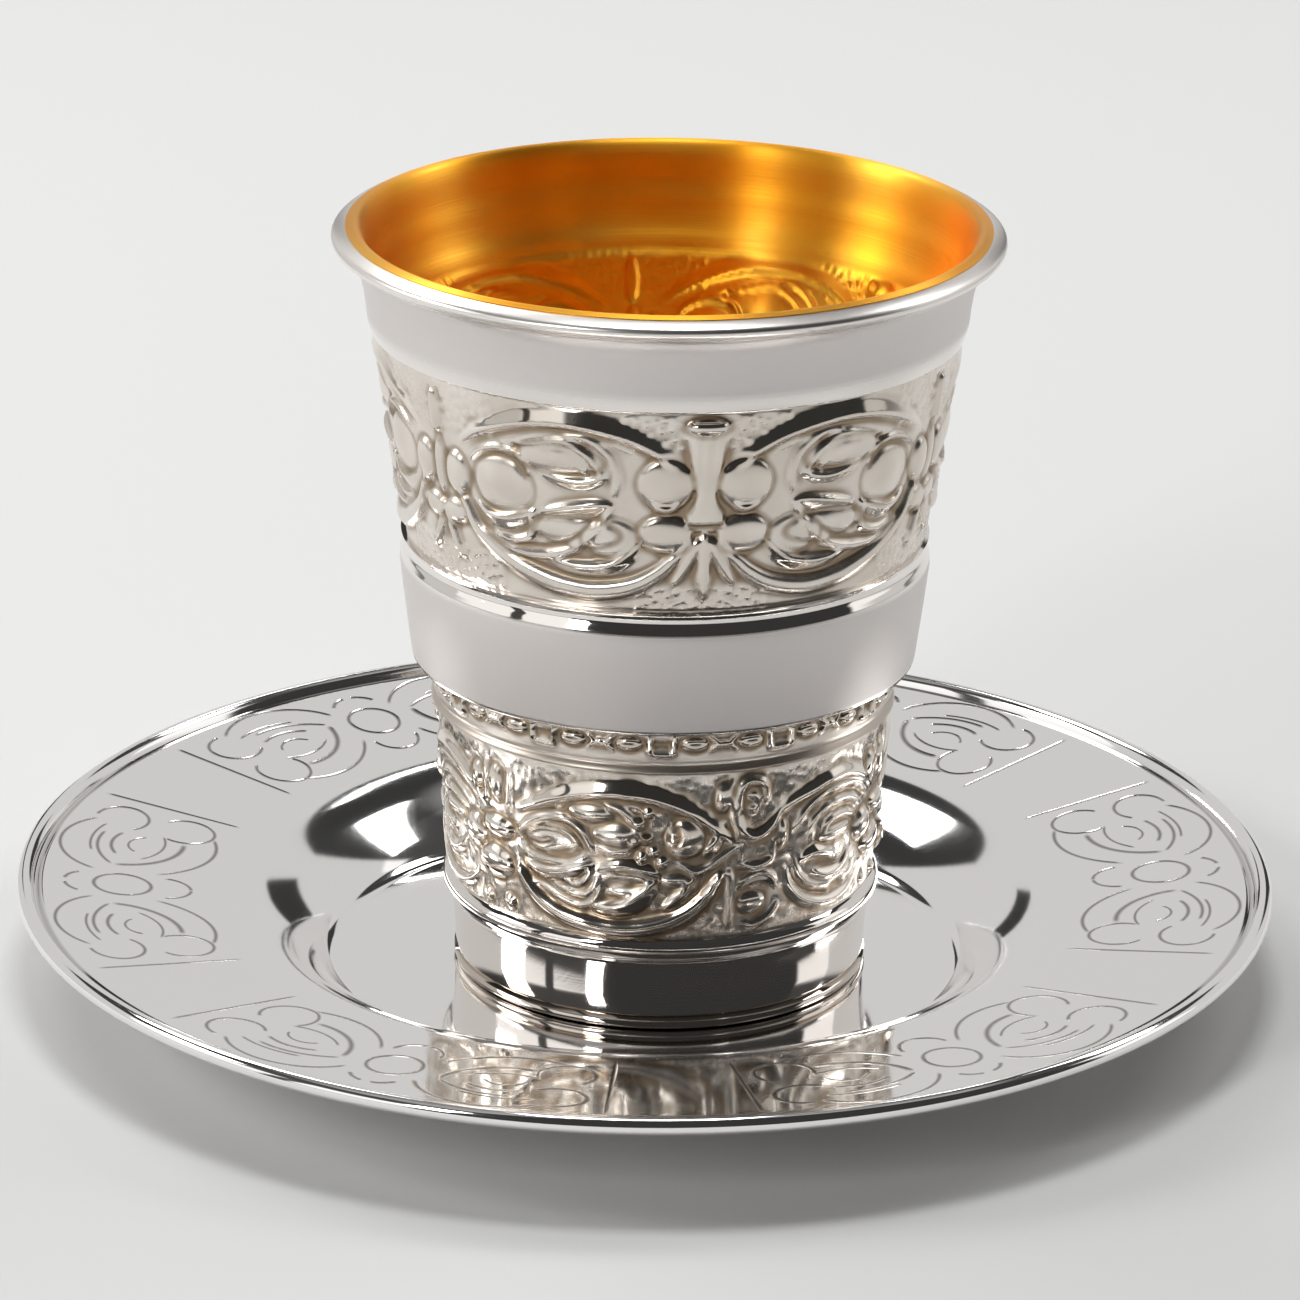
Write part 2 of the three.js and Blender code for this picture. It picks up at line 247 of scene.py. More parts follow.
class Strip:
    """Points of a flat strip: mm along and up, and how far each stands out. Tools take degrees along."""

    REACH = 2.5  # mm: no stroke of a tool is wider
    FAR = 9.0  # mm: stands for out of reach

    def __init__(self, along, up, per_degree, repeat):
        self.along, self.up, self.per_degree, self.repeat = along, up, per_degree, repeat
        self.rise = np.zeros_like(along)
        self.cut = np.zeros_like(along)
        self.bright = np.zeros_like(along)

    def beside(self, middle):
        """How far along each point is from a place, the short way round the repeat."""
        return (self.along - middle + self.repeat / 2) % self.repeat - self.repeat / 2

    def raise_to(self, height, mask, bright):
        self.rise = np.where(mask, np.maximum(self.rise, height), self.rise)
        self.bright = np.where(mask, np.maximum(self.bright, bright), self.bright)

    def near(self, path):
        """For each point: its distance from the path, on which side, and how far down the path."""
        path = np.array(soften(path, 6)) * (self.per_degree, 1)
        low, high = path.min(0) - self.REACH, path.max(0) + self.REACH
        middle = (low[0] + high[0]) / 2
        x = self.beside(middle) + middle
        close = (x > low[0]) & (x < high[0]) & (self.up > low[1]) & (self.up < high[1])
        x, y = x[close], self.up[close]
        best, side, down = np.full(x.shape, self.FAR), np.zeros(x.shape), np.zeros(x.shape)
        for number, (start, end) in enumerate(zip(path, path[1:])):
            run = end - start
            share = ((x - start[0]) * run[0] + (y - start[1]) * run[1]) / (run @ run + 1e-12)
            share = np.clip(share, 0, 1)
            gap_x, gap_y = x - start[0] - share * run[0], y - start[1] - share * run[1]
            gap = np.hypot(gap_x, gap_y)
            closer = gap < best
            best = np.where(closer, gap, best)
            side = np.where(closer, np.sign(run[0] * gap_y - run[1] * gap_x), side)
            down = np.where(closer, (number + share) / (len(path) - 1), down)
        found = []
        for values, far in ((best, self.FAR), (side, 0.0), (down, 0.0)):
            field = np.full(self.up.shape, far)
            field[close] = values
            found.append(field)
        return found

    def boss(self, x, y, half_x, half_y, rise, fullness, bright):
        q = (self.beside(x * self.per_degree) / half_x) ** 2 + ((self.up - y) / half_y) ** 2
        self.raise_to(rise * np.clip(1 - q, 0, 1) ** fullness, q < 1, bright)
        rim = np.abs(np.sqrt(q) - 1.04) * min(half_x, half_y)
        self.cut = np.maximum(self.cut, 0.16 * np.clip(1 - rim / 0.3, 0, 1))

    def roll(self, path, width, rise, taper=0.5, bright=0.5):
        gap, _, down = self.near(path)
        half = width * pointed(down, taper)
        q = gap / half
        self.raise_to(rise * np.clip(1 - q * q, 0, 1) ** 0.75, q < 1, bright)

    def facet(self, path, width, rise, crest, fall=0.55):
        """A tilted face that climbs across the path to a crest on its left (1) or right (-1)."""
        gap, side, down = self.near(path)
        shape = pointed(down, 0.5)
        half = width * shape
        across = gap * side * crest
        climb = np.clip((across + half) / (2 * half), 0, 1)
        drop = np.clip(1 - (across - half) / (fall * shape + 0.05), 0, 1) ** 1.6
        height = rise * shape * np.where(across < half, climb, drop)
        on = (gap < half + fall) & (across > -half)
        self.raise_to(height, on, np.where(across < half, 1.0, 0.3))

    def groove(self, path, width, depth):
        gap, _, down = self.near(path)
        half = width * pointed(down, 0.4)
        self.cut = np.maximum(self.cut, depth * np.clip(1 - gap / half, 0, 1))

    def grains(self, x0, x1, y0, y1, pitch, rise, only_below=0.08):
        """Small round punch marks, one to each square of a net but never in its middle."""
        nearest = np.full(self.up.shape, self.FAR)
        for step_x in (-1, 0, 1):
            for step_y in (-1, 0, 1):
                column = np.floor(self.along / pitch) + step_x
                row = np.floor(self.up / pitch) + step_y
                mark_x = (column + 0.5 + 0.3 * np.sin(column * 12.99 + row * 78.23)) * pitch
                mark_y = (row + 0.5 + 0.3 * np.sin(column * 39.35 + row * 11.14)) * pitch
                nearest = np.minimum(nearest, np.hypot(self.along - mark_x, self.up - mark_y))
        q = (nearest / (0.46 * pitch)) ** 2
        degrees = self.along / self.per_degree
        here = (degrees >= x0) & (degrees <= x1) & (self.up >= y0) & (self.up <= y1)
        here &= self.rise < only_below
        self.raise_to(rise * np.clip(1 - q, 0, 1) ** 0.6, here & (q < 1), 0.4)

    def hammer(self, depth, around, upward):
        """Long soft hollows all over, as planishing leaves them: waves that close round the repeat."""
        turn = self.along / self.repeat * tau
        waves = np.zeros_like(self.up)
        for number, (times, lean) in enumerate(zip(around, upward)):
            waves += np.sin(times * turn + lean * self.up + number * 2.4)
        self.rise = self.rise + depth * waves * (1 - 0.75 * self.bright)


# %% Roll a chased strip into a ring
HOLLOW_PASSES = 14  # softening that leaves only the broad shape, to tell a hollow from it
STAIN_PER_MM = 3.2  # how fast tarnish gathers with depth
END_FADE = 0.3  # mm over which the ornament dies away at the strip's long edges
BAND_WALL = 0.32  # mm: how thick a band is


def polished(field, passes):
    """Softens a map of heights, as a burnisher does. The strip's two ends meet."""
    for _ in range(passes):
        ring = field[:, :-1]
        ring = 0.5 * ring + 0.25 * (np.roll(ring, 1, 1) + np.roll(ring, -1, 1))
        field = np.hstack([ring, ring[:, :1]])
        inner = 0.5 * field[1:-1] + 0.25 * (field[2:] + field[:-2])
        field = np.vstack([field[:1], inner, field[-1:]])
    return field


def chased_ring(name, columns, rows, heights, radii, fold, per_degree, chase, tuck=0.2, passes=1,
                stain=1.0):
    """A fine grid, raised by chase(), rolled up round the cup's axis, and closed at the back."""
    clear_selection()
    bpy.ops.mesh.primitive_grid_add(x_subdivisions=columns, y_subdivisions=rows, size=1)
    piece = named(name)
    flat = places(piece)
    order = np.lexsort((flat[:, 0], flat[:, 1]))
    across = len(np.unique(np.round(flat[:, 0], 6)))
    angle = (flat[order, 0] * 360).reshape(-1, across)
    share = (flat[order, 1] + 0.5).reshape(-1, across)
    up = heights[0] + (heights[1] - heights[0]) * share
    along, repeat = fold(angle)
    strip = Strip(along, up, per_degree, repeat)
    chase(strip)
    rise = polished(strip.rise - strip.cut, passes)
    hollow = np.clip((polished(rise, HOLLOW_PASSES) - rise) * STAIN_PER_MM * stain, 0, 1)
    patina = np.clip(polished(np.maximum(hollow, strip.cut * STAIN_PER_MM), 1), 0, 1)
    bright = polished(strip.bright, 1)
    end = np.clip(np.minimum(up - heights[0], heights[1] - up) / END_FADE, 0, 1)
    radius = radii[0] + (radii[1] - radii[0]) * share + rise * end - tuck * (1 - end)
    turn = np.radians(angle)
    ring = np.empty_like(flat)
    ring[order] = np.stack([cup_x + radius * MM * np.sin(turn), -radius * MM * np.cos(turn),
                            cup_z + up * MM], -1).reshape(-1, 3)
    move_to(piece, ring)
    for label, values in (("patina", patina), ("bright", bright)):
        column = np.empty(len(flat))
        column[order] = values.ravel()
        piece.data.attributes.new(label, "FLOAT", "POINT").data.foreach_set("value", column)
    mend(piece)
    bpy.ops.object.mode_set(mode="EDIT")
    bpy.ops.mesh.select_mode(type="EDGE")
    bpy.ops.mesh.select_all(action="DESELECT")
    bpy.ops.mesh.select_non_manifold()
    bpy.ops.mesh.extrude_edges_move()
    inward = 1 - BAND_WALL / radii[0]
    middle = (cup_x, 0, cup_z + MM * (heights[0] + heights[1]) / 2)
    bpy.ops.transform.resize(value=(inward, inward, 0.99), center_override=middle)
    bpy.ops.mesh.bridge_edge_loops()
    bpy.ops.mesh.select_mode(type="VERT")
    bpy.ops.mesh.select_all(action="SELECT")
    bpy.ops.mesh.normals_make_consistent(inside=False)
    bpy.ops.object.mode_set(mode="OBJECT")
    bpy.ops.object.shade_smooth_by_angle(angle=radians(60))
    report(piece)
    return piece


# %% [markdown]
# ## The upper band
# Six oval frames hold curling leaves. The band repeats as a pair that mirrors about each knot, so
# one half of the pair is drawn, and the strip is folded on itself before it is chased. Heights are
# in mm from the level line under the foot, and places along the band are in degrees from the
# middle of a knot.

# %% Chase the upper band
UPPER_KNOT = 8.0
UPPER_PER_DEGREE = radians(1) * 28.8


def fold_upper(angle):
    folded = np.abs((angle - UPPER_KNOT + 60) % 120 - 60)
    return folded * UPPER_PER_DEGREE, 120 * UPPER_PER_DEGREE


def chase_upper(strip):
    # the oval's frame
    strip.facet([(0.8, 62.7), (3, 64.8), (6, 66.7), (10, 68.3), (15, 69.6), (21, 70.4), (28, 70.7),
                 (36, 70.2), (43, 69.0), (49, 67.5), (54, 65.4)], 1.0, 0.85, crest=-1, fall=0.5)
    strip.roll([(50, 64.6), (45, 66.2), (39, 67.2), (33, 68.4), (26, 68.7), (19, 68.2), (13, 66.9)], 0.45,
               0.2)
    strip.roll([(54, 60.0), (51, 57.0), (46, 54.8), (39, 53.1), (31, 52.0), (23, 51.7), (15, 52.5),
                (9, 54.3), (4, 57.0)], 1.15, 0.62, taper=0.3, bright=0.35)
    strip.facet([(12.3, 57.6), (15, 55.6), (19, 54.4), (24, 53.9), (29, 54.1), (34, 55.0)], 0.7, 0.8,
                crest=1)
    strip.groove([(50, 57.6), (46, 55.9), (39, 54.3), (31, 53.2), (23, 52.9), (15, 53.7), (9, 55.4)], 0.4,
                 0.2)
    # the big disc, its arch and its dish
    strip.boss(42.6, 61.9, 3.7, 3.1, 0.5, 0.9, 0.25)
    strip.roll([(50.5, 63.9), (47.5, 65.3), (43, 66.1), (39, 65.9), (36.7, 64.8), (36.2, 63.4)], 0.42,
               0.55)
    strip.groove([(47, 64.7), (43, 65.2), (39.5, 64.9), (37.6, 63.7)], 0.35, 0.3)
    strip.facet([(50.2, 59.4), (46.5, 58.0), (42.5, 57.8), (38.5, 58.5), (35.6, 59.6)], 0.85, 0.8,
                crest=-1)
    strip.roll([(45.5, 56.6), (41, 56.1), (37, 56.7), (35, 57.8)], 0.5, 0.5, bright=0.9)
    strip.roll([(36.4, 56.9), (35.9, 58.2), (35.5, 59.9)], 0.4, 0.6, taper=0.2)
    # the upper leaf, its tongue and its lobe
    strip.boss(29.5, 66.0, 4.6, 1.7, 0.5, 0.8, 0.3)
    strip.roll([(28.5, 68.6), (23.5, 68.5), (19.6, 67.0), (17.6, 64.6), (18.2, 62.4)], 0.6, 0.42,
               bright=0.3)
    strip.roll([(23.4, 67.6), (20.6, 66.2), (19.4, 64.0)], 0.35, 0.4, bright=0.3)
    strip.roll([(38.5, 66.9), (33, 67.6), (28, 67.9), (24, 67.0), (21.6, 65.5), (20.2, 63.8)], 0.6, 0.6)
    strip.roll([(33, 66.3), (28.5, 66.5), (25.3, 65.6), (23.6, 64.4)], 0.35, 0.5)
    strip.facet([(34.5, 64.4), (30.5, 63.6), (26.5, 63.2), (22.5, 63.5), (19.2, 64.6)], 0.55, 0.6,
                crest=-1)
    strip.groove([(36.8, 65.2), (36.9, 63.2)], 0.3, 0.3)
    # the lower leaves
    strip.facet([(34, 59.6), (29.5, 60.0), (25.5, 60.4), (21.5, 60.9), (18.3, 61.2)], 0.8, 0.8, crest=-1)
    strip.boss(26.5, 58.1, 4.6, 1.7, 0.45, 0.8, 0.25)
    strip.boss(19.0, 57.6, 3.0, 2.2, 0.42, 0.8, 0.25)
    strip.roll([(48, 56.6), (43, 55.2), (37, 54.9), (31, 55.3), (25.5, 56.7), (21.3, 58.9), (18.7, 61.2)],
               0.55, 0.55)
    strip.groove([(41, 55.7), (33, 56.1), (27, 57.4), (22.6, 59.4)], 0.3, 0.28)
    # the knot: four bosses, a fluted stem with its cap, and three petals
    strip.boss(7.9, 63.9, 2.85, 2.9, 0.8, 0.5, 0.5)
    strip.facet([(11.8, 62.0), (9.5, 61.1), (6.8, 61.0), (4.2, 62.2)], 0.5, 1.0, crest=-1, fall=0.3)
    strip.boss(7.9, 58.4, 2.8, 2.15, 0.75, 0.5, 0.5)
    half = np.interp(strip.up, [59.4, 60.4, 62, 63.2, 66, 69.6, 70.3],
                     [2.1, 2.0, 1.2, 1.05, 1.6, 2.25, 2.1])
    q = np.abs(strip.along) / half
    flutes = 0.1 * (1 - np.cos(strip.along * tau / 1.15)) * np.clip((strip.up - 62.6) / 1.5, 0, 1)
    on_stem = (q < 1) & (strip.up > 59.5) & (strip.up < 70.2)
    strip.raise_to(0.8 * np.clip(1 - q ** 6, 0, 1) ** 0.6 - flutes, on_stem, 0.4)
    strip.boss(0, 70.3, 2.2, 0.95, 1.1, 0.6, 1.0)
    strip.roll([(-3, 59.0), (3, 59.0)], 0.25, 0.3, taper=0.1)
    strip.roll([(-0.01, 58.5), (0.01, 51.2)], 0.85, 0.75)
    strip.roll([(1.2, 58.0), (3.2, 55.6), (6.3, 52.8)], 0.75, 0.7)
    strip.roll([(2.6, 57.9), (6.8, 55.4), (12.5, 53.6)], 0.55, 0.55)
    # the far knot, between two discs
    strip.boss(60, 62.0, 1.0, 3.4, 0.5, 0.7, 0.3)
    strip.boss(54.8, 61.9, 1.75, 2.5, 0.7, 0.6, 0.4)
    strip.boss(56.4, 57.4, 1.9, 1.5, 0.6, 0.7, 0.35)
    strip.roll([(60, 70.4), (59.8, 65.6)], 0.9, 0.6)
    strip.roll([(59.9, 58.2), (57.5, 54.6), (55, 52.4)], 0.7, 0.6)
    # the ground: rows of grains outside the frames and among the leaves
    strip.grains(2.4, 18, 67.6, 71.4, 0.95, 0.24)
    strip.grains(44, 60, 66.5, 71.3, 0.95, 0.16)
    strip.grains(0, 14, 49.9, 52.6, 0.8, 0.2)
    strip.grains(44, 60, 49.9, 54.0, 1.0, 0.2)
    strip.hammer(0.016, (3, 5, 7, 10, 13), (0.8, -1.1, 1.3, -0.6, 0.9))


upper_band = chased_ring("upper_band", 810, 104, (49.62, 71.92), (27.25, 30.34), fold_upper,
                         UPPER_PER_DEGREE, chase_upper)

# %% [markdown]
# ## The lower band
# The lower band is narrower and busier. Its ovals alternate with a flower and with a heart, so
# here a third of the round is drawn whole and simply repeats. Degrees count from the front.

# %% Chase the lower band
LOWER_PER_DEGREE = radians(1) * 23.3


def fold_lower(angle):
    return angle * LOWER_PER_DEGREE, 120 * LOWER_PER_DEGREE


def chase_first_oval(strip):
    strip.facet([(-39, 24.7), (-33, 26.4), (-26, 27.9), (-18, 28.9), (-10, 29.2), (-2, 28.8), (6, 27.4),
                 (13, 25.2), (19.5, 22.7)], 1.0, 0.95, crest=-1, fall=0.45)
    strip.roll([(-38, 23.6), (-33, 24.9), (-27, 26.0), (-20, 27.1), (-12, 27.3), (-4, 26.6), (1, 25.6)],
               0.35, 0.25)
    strip.roll([(-39, 18.3), (-35, 16.0), (-29, 14.3), (-22, 13.4), (-12, 13.0), (-3, 13.4), (5, 14.6),
                (11, 16.5), (15.5, 19.2)], 1.15, 0.95, taper=0.3, bright=0.8)
    strip.groove([(-33, 14.0), (-26, 12.8), (-16, 12.2), (-4, 12.3), (6, 13.4)], 0.35, 0.25)
    # the almond leaf
    strip.boss(-29, 21.9, 3.2, 1.7, 0.4, 0.8, 0.3)
    strip.roll([(-39.5, 21.6), (-36, 23.4), (-30, 24.7), (-24, 24.8), (-19.6, 23.4), (-17.6, 21.3)], 0.45,
               0.65)
    strip.roll([(-37.5, 22.2), (-33, 23.4), (-27.5, 23.7), (-22.6, 22.9), (-20.3, 21.3)], 0.3, 0.6)
    strip.roll([(-39.3, 20.7), (-35.5, 19.8), (-30, 19.7), (-24, 20.0), (-18.6, 21.0)], 0.35, 0.5)
    strip.groove([(-36, 21.7), (-32, 21.5), (-28, 22.2)], 0.3, 0.3)
    strip.groove([(-30, 20.8), (-26, 21.0), (-23, 21.6)], 0.28, 0.25)
    strip.facet([(-37.5, 19.0), (-33, 18.1), (-27, 18.2), (-21, 19.1), (-17, 20.1)], 0.7, 0.8, crest=1)
    strip.roll([(-38, 17.2), (-32, 16.7), (-26, 15.7), (-21, 15.2), (-17, 16.2), (-14.4, 18.6)], 0.33,
               0.55)
    strip.roll([(-30, 17.4), (-25, 16.7), (-20.7, 16.4), (-17.6, 17.3), (-15.9, 19.0)], 0.3, 0.6)
    strip.roll([(-26, 17.9), (-22, 17.6), (-19.3, 18.3), (-17.8, 19.5)], 0.28, 0.6)
    # the long leaves that meet at the boss
    strip.facet([(-16.5, 19.4), (-12, 20.5), (-7, 20.6), (-3, 20.1), (0.5, 19.2)], 0.62, 0.75, crest=-1)
    strip.roll([(-15, 18.8), (-10, 19.1), (-5, 18.9), (-1, 18.3)], 0.3, 0.4)
    strip.facet([(-18.5, 15.0), (-12.5, 14.8), (-7.5, 15.4), (-3.2, 16.9), (-0.3, 19.0)], 0.95, 0.95,
                crest=1)
    strip.roll([(-13, 17.1), (-8, 17.2), (-4, 17.9)], 0.4, 0.45)
    strip.boss(-18, 25.9, 2.6, 1.1, 0.6, 0.8, 0.4)
    strip.roll([(-14.5, 27.0), (-9.5, 26.4), (-6.2, 24.7), (-4.6, 22.9)], 0.5, 0.55)
    strip.boss(-11, 23.6, 2.8, 1.4, 0.6, 0.8, 0.4)
    strip.roll([(-17, 22.4), (-12, 21.8), (-7, 22.1)], 0.35, 0.4)
    berries = [(-6.8, 22.9), (-5.4, 25.2), (-3.2, 26.4), (-3.6, 23.4), (-1.8, 22.0), (0.4, 20.8),
               (-4.8, 21.3)]
    for place in berries:
        strip.boss(*place, 0.62, 0.72, 0.6, 0.7, 0.8)
    strip.boss(6.4, 23.5, 2.1, 2.35, 0.85, 0.7, 0.6)
    for end in ((2.4, 24.9), (2.2, 23.7), (3.0, 26.0), (2.9, 22.4)):
        strip.groove([(5.6, 23.8), end], 0.3, 0.3)
    strip.roll([(4.6, 20.9), (8, 19.7), (12, 20.1), (16, 21.3), (20, 22.2)], 0.38, 0.6)
    strip.facet([(11, 21.4), (13.6, 22.2), (15.6, 23.9)], 0.75, 0.7, crest=1)
    strip.boss(12.6, 17.2, 0.9, 0.85, 0.6, 0.6, 0.9)
    strip.facet([(0.5, 15.3), (4.5, 16.2), (8.5, 18.0), (10.6, 20.0)], 0.7, 0.7, crest=1)
    strip.boss(4.2, 18.7, 1.9, 0.9, 0.45, 0.8, 0.5)


def chase_knots(strip):
    # the flower
    strip.boss(-46.5, 21.8, 2.5, 1.35, 0.8, 0.7, 0.8)
    strip.boss(-48, 17.7, 2.9, 1.9, 0.8, 0.7, 0.8)
    strip.boss(-53.6, 26.9, 1.1, 1.7, 0.6, 0.7, 0.5)
    strip.boss(-46.2, 26.8, 1.25, 2.3, 0.7, 0.7, 0.5)
    strip.roll([(-42.3, 24.2), (-41.7, 28.8)], 0.33, 0.5, taper=0.2)
    strip.roll([(-50.4, 24.3), (-50, 28.6)], 0.33, 0.5, taper=0.2)
    strip.boss(-43, 13.5, 0.95, 0.9, 0.6, 0.5, 0.9)
    strip.boss(-51.5, 13.4, 0.8, 0.75, 0.5, 0.5, 0.6)
    # the heart
    strip.boss(15.6, 28.0, 0.85, 1.9, 0.65, 0.7, 0.5)
    strip.roll([(17.6, 29.9), (17.4, 28.2), (18.9, 25.4), (20.2, 23.0)], 0.45, 0.7)
    strip.roll([(19.6, 26.0), (19.9, 28.6), (21.6, 29.6), (24.6, 29.5), (26.6, 28.8), (27.4, 26.9)], 0.55,
               0.8)
    strip.roll([(21.9, 27.6), (23.7, 28.0), (24.9, 27.0), (23.7, 26.1), (22.6, 26.8)], 0.3, 0.5)
    strip.facet([(20.6, 26.2), (21.6, 24.4), (24.6, 23.5), (28.6, 24.4), (32, 26.1)], 0.6, 0.8, crest=-1)
    strip.roll([(20, 20.2), (25, 19.7), (30.4, 20.3)], 0.38, 0.55)
    strip.roll([(21.3, 22.8), (21.2, 20.6)], 0.3, 0.4, taper=0.2)
    strip.roll([(29.6, 22.9), (29.8, 20.6)], 0.3, 0.4, taper=0.2)
    strip.facet([(20.0, 17.2), (24, 18.3), (28, 18.2), (31.6, 17.0)], 0.6, 0.75, crest=1)
    strip.boss(24.2, 15.6, 1.7, 1.3, 0.5, 0.7, 0.6)
    strip.roll([(21, 13.4), (25, 13.0), (29.5, 13.6), (32.5, 15.2)], 0.45, 0.55, bright=0.7)
    strip.roll([(17.8, 19.6), (18.4, 16.5), (18.2, 13.2)], 0.5, 0.5, taper=0.25)
    strip.boss(32.2, 22.9, 0.8, 1.9, 0.7, 0.7, 0.6)


def chase_second_oval(strip):
    strip.facet([(30, 25.2), (35, 26.7), (40, 27.5), (46, 28.2), (53, 28.3), (60, 27.3), (66, 25.6),
                 (71, 23.4)], 0.85, 0.85, crest=-1, fall=0.45)
    strip.roll([(36, 23.0), (40, 25.0), (45, 26.2), (52, 26.5), (60, 25.7), (67, 23.6)], 0.45, 0.55)
    strip.roll([(40.5, 22.2), (44, 23.9), (50, 24.8), (57, 24.4), (63, 22.8)], 0.38, 0.5)
    strip.roll([(45, 21.6), (49.5, 22.8), (55.5, 22.8), (60.5, 21.8)], 0.38, 0.5)
    strip.boss(51.5, 21.2, 3.0, 1.0, 0.45, 0.8, 0.4)
    strip.facet([(33.8, 19.4), (36, 16.9), (40, 15.2), (46, 14.1), (53, 13.7), (60, 14.3), (66, 16.2)],
                0.58, 0.75, crest=-1)
    strip.roll([(36, 20.0), (39, 17.4), (44, 16.0), (50, 15.5), (57, 16.0)], 0.3, 0.5)
    strip.facet([(38, 19.2), (43, 20.1), (48, 19.7), (52.5, 18.5)], 0.65, 0.75, crest=-1)
    strip.facet([(43, 17.6), (48.5, 17.0), (54, 17.3), (59, 18.9)], 0.6, 0.75, crest=-1)
    strip.boss(64.5, 20.3, 2.1, 2.1, 0.8, 0.7, 0.6)


def chase_lower(strip):
    chase_first_oval(strip)
    chase_knots(strip)
    chase_second_oval(strip)
    strip.grains(-180, 180, 12.1, 13.6, 0.8, 0.14)
    strip.grains(-180, 180, 13.6, 28.4, 1.5, 0.09, 0.05)
    strip.grains(-180, 180, 28.4, 30.4, 0.8, 0.14)
    strip.hammer(0.022, (5, 8, 11, 14, 17), (1.0, -1.3, 1.6, -0.7, 1.1))


lower_band = chased_ring("lower_band", 800, 100, (11.85, 31.05), (22.55, 23.92), fold_lower,
                         LOWER_PER_DEGREE, chase_lower, passes=3, stain=1.9)

# %% [markdown]
# ## The small frieze
# Under the ledge runs a narrow frieze: pairs of upright bars, an oval bead and a bow, twelve
# times round. It is chased with the same tools, folded about each pair of bars.

# %% Chase the frieze
FRIEZE_PER_DEGREE = radians(1) * 24.4


def fold_frieze(angle):
    return np.abs((angle + 15) % 30 - 15) * FRIEZE_PER_DEGREE, 30 * FRIEZE_PER_DEGREE


def chase_frieze(strip):
    strip.roll([(2.9, 33.2), (3.0, 35.3)], 0.34, 0.55, taper=0.15, bright=1)
    strip.roll([(-2.6, 33.15), (2.6, 33.15)], 0.22, 0.35, taper=0.1, bright=1)
    strip.boss(8.0, 34.25, 1.5, 0.85, 0.5, 0.6, 0.9)
    strip.groove([(5.6, 34.25), (10.4, 34.25)], 0.22, 0.25)
    strip.roll([(11.4, 33.5), (15, 34.4), (18.6, 33.5)], 0.34, 0.45, bright=0.9)
    strip.roll([(11.4, 35.1), (15, 34.1), (18.6, 35.1)], 0.34, 0.45, bright=0.9)
    strip.groove([(-16, 35.5), (16, 35.5)], 0.25, 0.2)
    strip.groove([(-2.2, 34.3), (2.2, 34.3)], 0.75, 0.22)


frieze = chased_ring("frieze", 1080, 22, (31.9, 35.95), (24.3, 24.5), fold_frieze, FRIEZE_PER_DEGREE,
                     chase_frieze, tuck=0.1, stain=1.7)

# %% [markdown]
# ## The gilt lining
# The inside is gilt, and it shows the back of the ornament, soft and reversed, because the sheet
# was pressed from outside in. A thin closed shell is spun, and its inner wall is then moved by a
# softened version of the same height map.

# %% The lining
LINING_STEPS = 70
LINING_COLUMNS = 600
BAND_LOW, BAND_HIGH = 50, 71.6  # heights between which the ornament shows inside
LOW_RADIUS, HIGH_RADIUS = 26.5, 29.45  # the lining's radius at those two heights
inner_neck = soften([(33.5, 82.48), (33.1, 82.56), (32.6, 82.66), (32.1, 82.5), (31.75, 81.9),
                     (31.5, 80.8), (31.35, 78.4), (30.95, 76.6), (30.72, 75.2), (30.3, 73.7),
                     (29.75, 72.6), (29.5, 71.9)], 4)
inner_band = [(HIGH_RADIUS + (LOW_RADIUS - HIGH_RADIUS) * n / LINING_STEPS,
               BAND_HIGH + (BAND_LOW - BAND_HIGH) * n / LINING_STEPS)
              for n in range(LINING_STEPS + 1)]
inner_foot = soften([(26.75, 49.2), (27.0, 47.5), (26.85, 43), (26.5, 39.6), (25.8, 37.3), (24.2, 36.4),
                     (23.5, 35.3), (23.3, 32.5)], 3)
inner_foot += [(23.1, 30.8), (21.5, 7.6), (21.2, 6.2), (20.4, 5.1), (19.0, 4.5), (12, 4.4), (0, 4.4)]
lining_back = [(0, 4.2), (19.3, 4.28), (20.6, 4.9), (21.35, 6.1), (21.62, 7.6), (23.2, 30.8),
               (23.62, 35.4), (24.6, 36.35), (26.0, 37.3), (26.65, 39.6), (27.0, 43), (27.12, 47.3),
               (26.95, 49.1), (26.76, 50.2), (29.74, 71.6), (30.1, 73.0), (31.05, 75.4), (31.7, 78.4),
               (31.95, 81.0), (32.3, 82.3), (33.4, 82.4), (33.5, 82.48)]
gilt_lining = turned("gilt_lining", inner_neck + inner_band + inner_foot + lining_back, cup_x, cup_z,
                     LINING_COLUMNS)

points = places(gilt_lining)
away = np.hypot(points[:, 0] - cup_x, points[:, 1]) / MM
level = (points[:, 2] - cup_z) / MM
nominal = np.interp(level, [BAND_LOW, BAND_HIGH], [LOW_RADIUS, HIGH_RADIUS])
on_band = (level > 50.2) & (level < 71.55) & (np.abs(away - nominal) < 0.12)
angle = np.degrees(np.arctan2(points[:, 0] - cup_x, -points[:, 1]))
along, repeat = fold_upper(angle)
SHOW_THROUGH = 0.7  # how much of the ornament's height shows on the back
GROUND_IN = 0.48  # mm that the ground lies further in, so that nothing reaches back to the wall
reverse = Strip(along[on_band], level[on_band], UPPER_PER_DEGREE, repeat)
chase_upper(reverse)
edge = np.clip(np.minimum(level[on_band] - 50.2, 71.4 - level[on_band]) / 0.8, 0, 1)
shift = (SHOW_THROUGH * (reverse.rise - reverse.cut) - GROUND_IN) * edge
away[on_band] += shift
turn = np.radians(angle)
points[:, 0] = cup_x + away * MM * np.sin(turn)
points[:, 1] = -away * MM * np.cos(turn)
move_to(gilt_lining, points)
report(gilt_lining)

